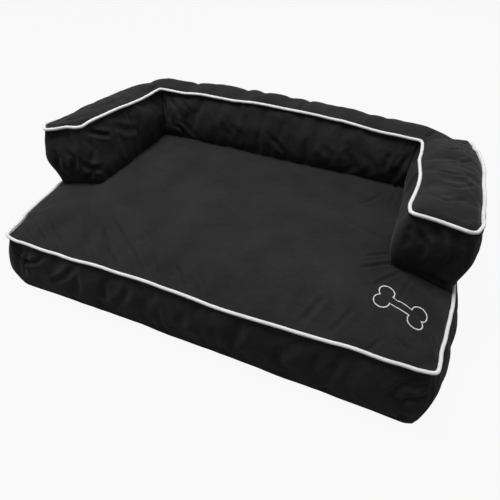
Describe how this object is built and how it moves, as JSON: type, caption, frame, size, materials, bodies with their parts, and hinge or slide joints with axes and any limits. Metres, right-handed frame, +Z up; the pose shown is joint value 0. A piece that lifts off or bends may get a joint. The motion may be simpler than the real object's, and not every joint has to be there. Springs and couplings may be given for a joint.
{
  "type": "dog sofa bed",
  "caption": "Rectangular sofa bed for a dog: a box cushion under a U-shaped bolster that makes a back and arms, with white piping and zipped black covers.",
  "frame": {"origin": "on the floor, under the middle of the bed's bounding box", "axes": "+X to the bed's right as a dog faces it from the open front, along its width; +Y from the open front to the back; +Z up"},
  "size_m": [0.8252, 0.5639, 0.288],
  "materials": {
    "cover_fabric": "matte",
    "underside_fabric": "matte",
    "piping_fabric": "matte",
    "liner_fabric": "matte",
    "fibre": "matte",
    "zip_tape": "matte",
    "zip_teeth": "matte",
    "zip_metal": "satin"
  },
  "bodies": {
    "bed": {"base_top_panel": "cover_fabric", "base_front_boxing": "cover_fabric", "base_left_boxing": "cover_fabric", "base_right_boxing": "cover_fabric", "base_rear_boxing": "cover_fabric", "base_bottom_panel": "underside_fabric", "base_piping": "piping_fabric", "base_liner": "liner_fabric", "base_fibre_fill": "fibre", "bolster_top_panel": "cover_fabric", "bolster_inner_back_boxing": "cover_fabric", "bolster_outer_back_boxing": "cover_fabric", "bolster_left_boxing": "cover_fabric", "bolster_right_boxing": "cover_fabric", "bolster_bottom_panel": "underside_fabric", "bolster_piping": "piping_fabric", "bolster_left_liner": "liner_fabric", "bolster_left_fill": "fibre", "bolster_back_liner": "liner_fabric", "bolster_back_fill": "fibre", "bolster_right_liner": "liner_fabric", "bolster_right_fill": "fibre", "base_zip_tape_upper": "zip_tape", "base_zip_tape_lower": "zip_tape", "base_zip_teeth_upper": "zip_teeth", "base_zip_teeth_lower": "zip_teeth", "base_zip_stops": "zip_metal", "bolster_zip_tape_upper": "zip_tape", "bolster_zip_tape_lower": "zip_tape", "bolster_zip_teeth_upper": "zip_teeth", "bolster_zip_teeth_lower": "zip_teeth", "bolster_zip_stops": "zip_metal"},
    "base_slider": {"base_zip_slider": "zip_metal"},
    "base_pull": {"base_zip_pull": "zip_metal"},
    "bolster_slider": {"bolster_zip_slider": "zip_metal"},
    "bolster_pull": {"bolster_zip_pull": "zip_metal"}
  },
  "joints": [
    {"name": "base_zip_slide", "type": "slide", "parent": "bed", "child": "base_slider", "axis": [1, 0, 0], "range_m": [0, 0.3674]},
    {"name": "base_zip_pull_hinge", "type": "hinge", "parent": "base_slider", "child": "base_pull", "pos_m": [-0.1837, 0.2796, 0.0748], "axis": [0, 0, 1], "range_deg": [0, 170]},
    {"name": "bolster_zip_slide", "type": "slide", "parent": "bed", "child": "bolster_slider", "axis": [1, 0, 0], "range_m": [0, 0.3674]},
    {"name": "bolster_zip_pull_hinge", "type": "hinge", "parent": "bolster_slider", "child": "bolster_pull", "pos_m": [-0.1837, 0.27948, 0.21305], "axis": [0, 0, 1], "range_deg": [0, 170]}
  ]
}
